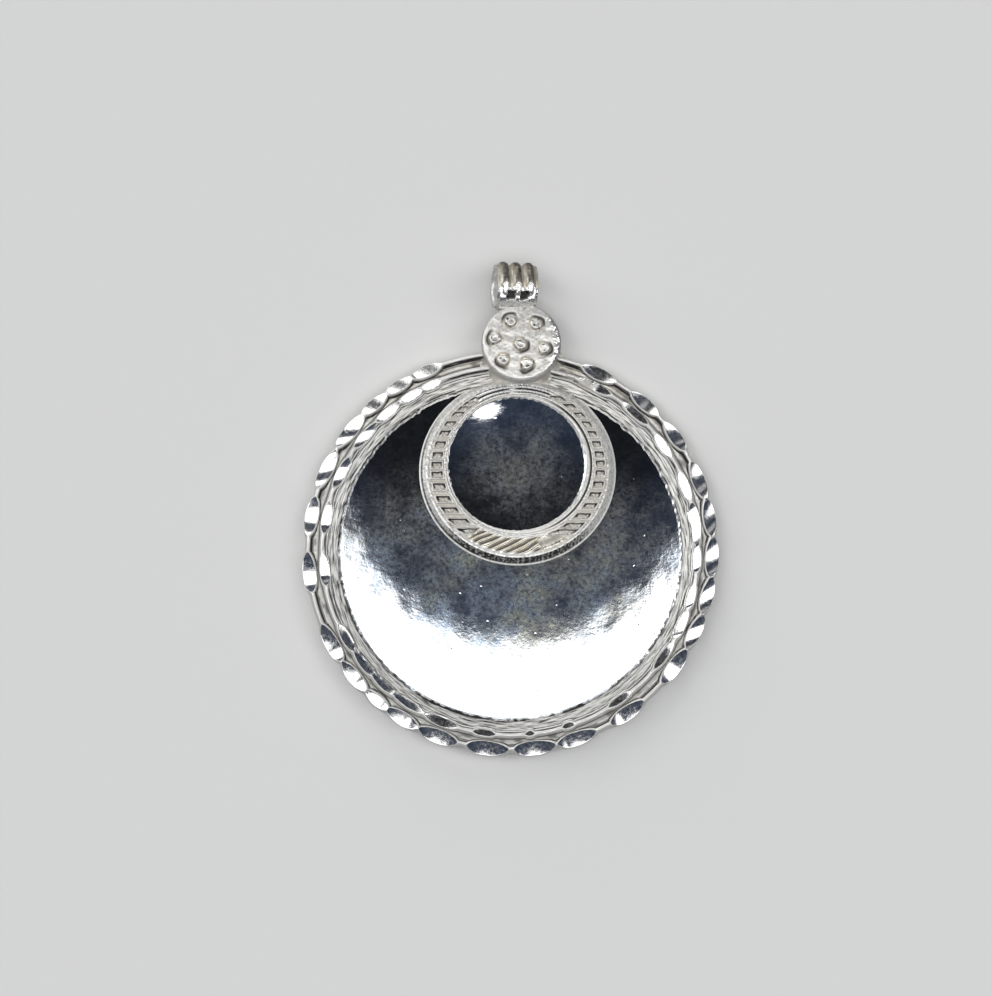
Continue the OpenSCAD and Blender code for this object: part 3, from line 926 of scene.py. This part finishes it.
def moon_mirror(material):
    """The dished mirror with its raised corner at the upper left, and its back"""
    angles = circle_of(MIRROR_STEPS)
    ball = (DISH_R ** 2 + DISH_DEPTH ** 2) / (2 * DISH_DEPTH)
    r = np.linspace(0.15, DISH_R + 0.15, 50)[:, None]
    x, y = polar(r, angles)
    flat = points_of(x, y)
    z = DISH_EDGE_Z - DISH_DEPTH + ball - np.sqrt(ball ** 2 - r ** 2) + 0 * x
    raised_x, raised_y = x - RAISED_X, y - RAISED_Y
    outwards = 0.75 * raised_y - 0.66 * raised_x
    along_edge = 0.75 * raised_x + 0.66 * raised_y
    z = z + 0.19 * bump_at(outwards, 0, 2.0) * bump_at(along_edge, 0, 2.1)
    z = z + 0.006 * ripple(flat, 2.6, 51) + 0.0012 * ripple(flat, 0.8, 52)
    top = points_of(x, y, z)
    under = resample([(DISH_BACK_R, 1.75), (DISH_BACK_R, 0.75), (DISH_BACK_R - 0.06, 0.69),
                      (0.2, 0.69)], 0.3)
    x, y = polar(under[:, :1], angles)
    back = points_of(x, y, np.broadcast_to(under[:, 1:], x.shape))
    rows = np.concatenate([top, back]) + np.array([DISH_X, DISH_Y, 0])
    polish = np.concatenate([np.ones(top.shape[:2]), np.full(back.shape[:2], 0.2)])
    bloom = 0.34 - 0.26 * smooth(3, 7.0, np.hypot(rows[..., 0] - DISH_X, rows[..., 1] - DISH_Y))
    make_piece("moon_mirror", rows, material, False, polish, bloom)


# The rosette, the solder round it and the bail

FACE_R = ROSETTE_R - ROSETTE_ROUND
FACE_ROWS = 66


def rosette_outline():
    """The rosette's outline: its slightly domed face, the round corner, the side and the back"""
    face_r = np.linspace(0.05, FACE_R, FACE_ROWS)
    face = points_of(face_r, ROSETTE_Z - ROSETTE_RISE * (face_r / FACE_R) ** 2)
    corner_z = ROSETTE_Z - ROSETTE_RISE - ROSETTE_ROUND
    turn = np.linspace(0, np.pi / 2, 9)[1:]
    corner = points_of(FACE_R + ROSETTE_ROUND * np.sin(turn),
                       corner_z + ROSETTE_ROUND * np.cos(turn))
    side = resample([(ROSETTE_R, corner_z), (ROSETTE_R, 2.0), (ROSETTE_R - 0.1, ROSETTE_UNDER_Z),
                     (0.2, ROSETTE_UNDER_Z)], 0.25)
    return np.vstack([face, corner, side[1:]])


def rosette(material):
    """The round button with its seven knobs, each in a moat and with a dent on top"""
    angles = circle_of(ROSETTE_STEPS)
    profile = rosette_outline()
    x, y = polar(profile[:, :1], angles)
    z = np.broadcast_to(profile[:, 1:], x.shape).copy()
    face = (np.arange(len(profile)) < FACE_ROWS + 6)[:, None]
    flat_at = points_of(x, y)
    grit = ripple(flat_at, 0.45, 59)
    polish = 0.12 + 0.12 * grit
    stain = 0.20 + 0.10 * grit
    shade_and_tarnish = np.zeros(x.shape)
    first_seed = 62
    for k, (knob_x, knob_y) in enumerate(KNOBS):
        lumpy = 1 + 0.09 * ripple(flat_at, 1.4, first_seed + k)
        away = np.hypot(x - knob_x, y - knob_y) * lumpy
        bump = np.minimum(np.sqrt(np.maximum(KNOB_R ** 2 - away ** 2, 0)) - KNOB_SINK, 0.27)
        from_middle = math.hypot(knob_x, knob_y)
        out = (knob_x / from_middle, knob_y / from_middle) if from_middle > 1 else (0.8, -0.6)
        outward = ((x - knob_x) * out[0] + (y - knob_y) * out[1]) / KNOB_R
        moat = bump_at(away, KNOB_R - 0.06, 0.17) * smooth(-0.5, 0.8, outward)
        dent = bump_at(np.hypot(x - knob_x - 0.12, y - knob_y + 0.08), 0, 0.24)
        z += np.where(face, np.maximum(bump, 0) - 0.12 * moat - 0.06 * dent, 0)
        knob = 1 - smooth(0.66, 0.86, away)
        polish = np.where(face, polish + 0.22 * knob * (1 + grit), polish)
        stain = np.where(face, highest(stain, 0.9 * bump_at(away, KNOB_R - 0.2, 0.2)), stain)
        # Painted shade in each knob's moat on its outward side, and a painted dark reflection in
        # the dent on its top
        dark = 1.0 * moat * smooth(-0.1, 0.7, outward) + 0.4 * dent
        shade_and_tarnish = np.where(face, np.maximum(shade_and_tarnish, dark), shade_and_tarnish)
    pit = bump_at(np.hypot(x - 0.4, y - 3.85), 0, 0.2) * face
    right_edge = smooth(0.75, 1.1, np.hypot(x, y) / FACE_R) * smooth(0.45, 0.85, x / ROSETTE_R)
    z -= 0.22 * pit
    polish = np.maximum(polish, 0.62 * right_edge)
    # Painted shade in the pit and along the rosette's edge
    rim_line = bump_at(np.hypot(x, y), ROSETTE_R - 0.02, 0.07)
    shade_and_tarnish = np.clip(shade_and_tarnish + 0.6 * pit + 0.35 * rim_line, 0, 1)
    rows = points_of(x + ROSETTE_X, y + ROSETTE_Y, z)
    flecks = right_edge * ripple(rows, 0.3, 60)
    rows[..., 2] += face * (0.028 * ripple(rows, 1.1, 61) + 0.010 * grit + 0.04 * flecks)
    rows[..., 2] = np.maximum(rows[..., 2], ROSETTE_UNDER_Z)
    make_piece("rosette", rows, material, False, polish, stain, shade_and_tarnish)


BAIL_STRAP_R = BAIL_HOLE_R + BAIL_STRAP
BAIL_OUTSIDE_ROWS = 61


def bail_outline():
    """The bail's section, as radius and place along its axis: three ribs, end, hole and end"""
    half = BAIL_W / 2
    across = np.linspace(-half, half, BAIL_OUTSIDE_ROWS)
    outside = np.full(across.shape, BAIL_STRAP_R)
    for k in (-1, 0, 1):
        rib = RIB_R ** 2 - (across - k * RIB_PITCH) ** 2
        outside = np.maximum(outside, RIB_SEAT_R + 0.985 * np.sqrt(np.maximum(rib, 0)) * (rib > 0))
    end_face = resample([(BAIL_STRAP_R, half), (BAIL_HOLE_R, half)], 0.12)[1:]
    hole = resample([(BAIL_HOLE_R, half), (BAIL_HOLE_R, -half)], 0.3)[1:]
    other = resample([(BAIL_HOLE_R, -half), (BAIL_STRAP_R, -half)], 0.12)[1:-1]
    return np.vstack([points_of(outside, across), end_face, hole, other])


def bail(material):
    """The loop of three ribs, its axis along X and rolled with its left side up. Solder fills the
    grooves in front, flattened to a plate with two pits under three peaks"""
    turns = circle_of(BAIL_STEPS)
    profile = bail_outline()
    on_outside = (np.arange(len(profile)) < BAIL_OUTSIDE_ROWS)[:, None]
    radius = profile[:, :1] + 0 * turns
    along = profile[:, 1:] + 0 * turns
    front = (-np.degrees(turns) + 180) % 360 - 180
    peak = 9 * np.cos(2 * np.pi * along / RIB_PITCH)
    filled = smooth(5, 10, front + peak) * (1 - smooth(100, 120, front)) * on_outside
    flush = BAIL_OUT_R - 0.10 - 0.5 * smooth(1.9, 2.2, np.abs(along))
    from_plate = front - 19
    plate = (BAIL_OUT_R - 0.30) / np.cos(np.radians(np.clip(from_plate, -25, 30)))
    flush = np.minimum(flush, np.where(np.abs(from_plate) < 30, plate, flush))
    radius = radius + filled * (flush - radius) * (radius < flush + 0.2)
    pits = np.zeros(radius.shape)
    rims = np.zeros(radius.shape)
    for middle in (-0.74, 0.78):
        box = np.maximum(np.abs(along - middle) / 0.50, np.abs(front - 34) / 12)
        box = box + 0.12 * ripple(points_of(along, front / 25 + 0 * along), 0.8, 82)
        pits = np.maximum(pits, 1 - smooth(0.75, 1.0, box))
        rims = np.maximum(rims, bump_at(box, 1.15, 0.15))
    radius -= on_outside * 0.42 * pits
    radius += on_outside * 0.05 * rims * (1 - pits) * filled
    # the turn is measured from +Z towards +Y, round the bail's own axis
    y = radius * np.sin(turns)
    up = radius * np.cos(turns)
    x = along * math.cos(BAIL_ROLL) + up * math.sin(BAIL_ROLL)
    z = -along * math.sin(BAIL_ROLL) + up * math.cos(BAIL_ROLL)
    rows = points_of(x + BAIL_X, y + BAIL_Y, z + BAIL_Z)
    rough = ripple(rows, 0.5, 81)
    rows[..., 2] -= 0.02 * np.abs(rough) * (filled > 0.5)
    ribs = smooth(BAIL_STRAP_R + 0.05, BAIL_OUT_R, radius) * on_outside
    bare = (1 - filled) * on_outside
    side_face = (~on_outside) & (along < -BAIL_W / 2 + 0.01)
    polish = 0.25 + 0.25 * ribs * bare + 0.30 * filled - 0.1 * side_face
    stain = 0.9 * bare + 0.2 * filled * smooth(0.2, 0.8, rough)
    groove = bare * (1 - ribs)
    # Painted shade darkens the bare ribs at the back and the pits in the solder plate; the side
    # face gets blotchy tarnish
    shade_and_tarnish = bare * (0.72 + 0.15 * rough) * smooth(0.45, 0.9, ribs) + 0.1 * groove
    shade_and_tarnish = shade_and_tarnish + 1.0 * pits * filled + 0.35 * side_face * smooth(0.3, 0.7, ripple(rows, 0.4, 83))
    make_piece("bail", rows, material, True, polish, stain, shade_and_tarnish)


def solder(material):
    """Solder that ran out from under the rosette over the rim"""
    angles = circle_of(SOLDER_STEPS)
    circle = np.concatenate([np.cos(angles), np.sin(angles)]).T
    on_disc = smooth(0.1, 0.45, -np.sin(angles))
    spread = -0.05 + on_disc * (0.95 + 0.2 * ripple(circle, 0.5, 71))
    high_z = 3.0
    off_disc_z = 2.0
    t = np.linspace(0, 1, 14)[:, None]
    r = ROSETTE_R - 0.3 + (spread + 0.3) * t
    z = high_z - (high_z - 1.5) * np.sqrt(t) + 0 * angles
    z = np.where(on_disc < 0.02, np.maximum(z, off_disc_z), z)
    x, y = polar(r, angles)
    top = points_of(x, y, z)
    low = top[::-1].copy()
    low[..., 2] = np.where(on_disc > 0.5, 1.2, 1.95)
    low[..., 2] = np.minimum(low[..., 2], top[::-1][..., 2] - 0.02)
    rows = np.concatenate([top, low]) + np.array([ROSETTE_X, ROSETTE_Y, 0])
    far = np.hypot(rows[..., 0], rows[..., 1])
    lowest = np.where(far > DISC_R - 0.5, off_disc_z, -1)
    rows[..., 2] = np.maximum(rows[..., 2], lowest)
    rows[..., 2] += 0.05 * ripple(rows, 0.7, 72) * np.minimum(1, (DISC_R - 0.5) / far)
    make_piece("solder", rows, material, True, 0.25, 0.6, 0.05)


# The stage

FLOOR_HALF = 2.0
FLOOR_COLOUR = (0.74, 0.74, 0.73, 1)


def floor():
    half = FLOOR_HALF
    mesh = bpy.data.meshes.new("floor")
    corners = [(-half, -half, 0), (half, -half, 0), (half, half, 0), (-half, half, 0)]
    mesh.from_pydata(corners, [], [(0, 1, 2, 3)])
    made = add_object("floor", mesh)
    material = bpy.data.materials.new("pale_floor")
    material.use_nodes = True
    shader = material.node_tree.nodes["Principled BSDF"]
    shader.inputs["Base Color"].default_value = FLOOR_COLOUR
    shader.inputs["Roughness"].default_value = 0.9
    mesh.materials.append(material)
    made.visible_glossy = False


# The lamps that the silver mirrors: the middle and half width of each oval as seen straight
# down on a dome of directions, how soft its edge is and how bright it is
LAMPS = (
    ((0.0, 0.0), (0.585, 0.565), 0.05, 1.0),
    ((0.65, -0.01), (0.22, 0.31), 0.10, 1.0),
    ((-0.73, 0.24), (0.24, 0.28), 0.10, 1.0),
    ((-0.48, -0.21), (0.16, 0.16), 0.12, 1.0),
    ((0.42, 0.68), (0.09, 0.10), 0.15, 0.15),
    ((-0.25, 0.90), (0.45, 0.12), 0.20, 0.9),
)
LAMP_POWER = 2.5

# The shade overhead, and the part of it that is darkest: middle, half width and softness
SHADE = ((0.02, 0.415), (0.477, 0.477), 0.055)
DARKEST = ((0.0, 0.56), (0.50, 0.42), 0.4)
SHADE_DARK = (0.006, 0.007, 0.009)
SHADE_BLUE = (0.016, 0.026, 0.050)
BELOW_HORIZON = (0.25, 0.25, 0.25)


def add_oval(tree, row, look, middle, half, soft):
    """1 inside an oval of directions, seen straight down, and 0 outside"""
    offset = add_node(tree, "ShaderNodeVectorMath", (-650, row))
    offset.operation = "SUBTRACT"
    offset.inputs[1].default_value = (*middle, 0)
    tree.links.new(look, offset.inputs[0])
    scaled = add_node(tree, "ShaderNodeVectorMath", (-450, row))
    scaled.operation = "MULTIPLY"
    scaled.inputs[1].default_value = (1 / half[0], 1 / half[1], 0)
    tree.links.new(offset.outputs[0], scaled.inputs[0])
    far = add_node(tree, "ShaderNodeVectorMath", (-250, row))
    far.operation = "LENGTH"
    tree.links.new(scaled.outputs[0], far.inputs[0])
    edge = add_node(tree, "ShaderNodeMapRange", (-50, row), From_Min=1 + soft, From_Max=1 - soft)
    edge.interpolation_type = "SMOOTHSTEP"
    tree.links.new(far.outputs["Value"], edge.inputs["Value"])
    return edge.outputs[0]


def sky():
    """Soft white lamps, the shade cut out of the first of them, and grey below the horizon"""
    world = bpy.data.worlds.new("studio")
    bpy.context.scene.world = world
    world.use_nodes = True
    tree = world.node_tree
    tree.nodes.clear()
    out = add_node(tree, "ShaderNodeOutputWorld", (1100, 0))
    look = add_node(tree, "ShaderNodeTexCoord", (-900, 0)).outputs["Generated"]

    shade = add_oval(tree, -200, look, *SHADE)
    lit = 0.0
    for k, (middle, half, soft, power) in enumerate(LAMPS):
        lamp = add_oval(tree, 200 + 200 * k, look, middle, half, soft)
        if k == 0:
            open_part = add_math(tree, "SUBTRACT", (150, 0), 1.0, shade)
            lamp = add_math(tree, "MULTIPLY", (250, 100), lamp, open_part)
        lamp = add_math(tree, "MULTIPLY", (250, 200 + 200 * k), lamp, power)
        lit = add_math(tree, "MAXIMUM", (400, 200 + 200 * k), lamp, lit)
    haze = add_oval(tree, -600, look, *DARKEST)
    haze = add_math(tree, "SUBTRACT", (150, -600), 1.0, haze)
    split = add_node(tree, "ShaderNodeSeparateXYZ", (-650, -400))
    tree.links.new(look, split.inputs[0])
    above = add_range(tree, (-450, -400), split.outputs["Z"], -0.02, 0.02, 0.0, 1.0)
    lit = add_math(tree, "MULTIPLY", (550, 300), lit, above)
    haze = add_math(tree, "MULTIPLY", (550, -500), haze, above)
    dark = add_mix(tree, (600, -400), haze, SHADE_DARK, SHADE_BLUE)
    dark = add_mix(tree, (700, -500), above, BELOW_HORIZON, dark)
    white = (LAMP_POWER, LAMP_POWER, LAMP_POWER)
    colour = add_mix(tree, (750, 200), lit, dark, white)
    lights = add_node(tree, "ShaderNodeBackground", (900, 200))
    tree.links.new(colour, lights.inputs["Color"])
    plain = add_node(tree, "ShaderNodeBackground", (900, -100), Color=FLOOR_COLOUR)
    path = add_node(tree, "ShaderNodeLightPath", (700, -300))
    mix = add_node(tree, "ShaderNodeMixShader", (1000, 0))
    tree.links.new(path.outputs["Is Camera Ray"], mix.inputs[0])
    tree.links.new(lights.outputs[0], mix.inputs[1])
    tree.links.new(plain.outputs[0], mix.inputs[2])
    tree.links.new(mix.outputs[0], out.inputs[0])


def camera():
    """Looks down at the photograph's angle, with the photograph's framing"""
    photo_w = 992
    photo_middle_px = (496, 498)
    disc_middle_px = (510.2, 550.8)
    mm_per_px = 0.1108
    lean = math.radians(12)
    face_z = 1.5
    half_view = math.radians(4)
    aim_x = (photo_middle_px[0] - disc_middle_px[0]) * mm_per_px
    aim_y = (disc_middle_px[1] - photo_middle_px[1]) * mm_per_px / math.cos(lean) + DISC_Y
    aim = Vector((aim_x, aim_y, face_z)) * MM
    back = Vector((0, -math.sin(lean), math.cos(lean)))
    distance = photo_w * mm_per_px / 2 / math.tan(half_view) * MM
    data = bpy.data.cameras.new("camera")
    data.sensor_width = 36
    data.lens = data.sensor_width / 2 / math.tan(half_view)
    made = add_object("camera", data)
    made.location = aim + back * distance
    made.rotation_mode = "QUATERNION"
    made.rotation_quaternion = (-back).to_track_quat("-Z", "Y")
    bpy.context.scene.camera = made


camera()
floor()
sky()
bpy.context.scene.view_settings.view_transform = "Standard"

cast = cast_silver()
mirror = mirror_silver()
outer_rim(cast)
inner_rim(cast)
domed_field(mirror)
moon_ring(cast)
moon_mirror(mirror)
rosette(cast)
bail(cast)
solder(cast)
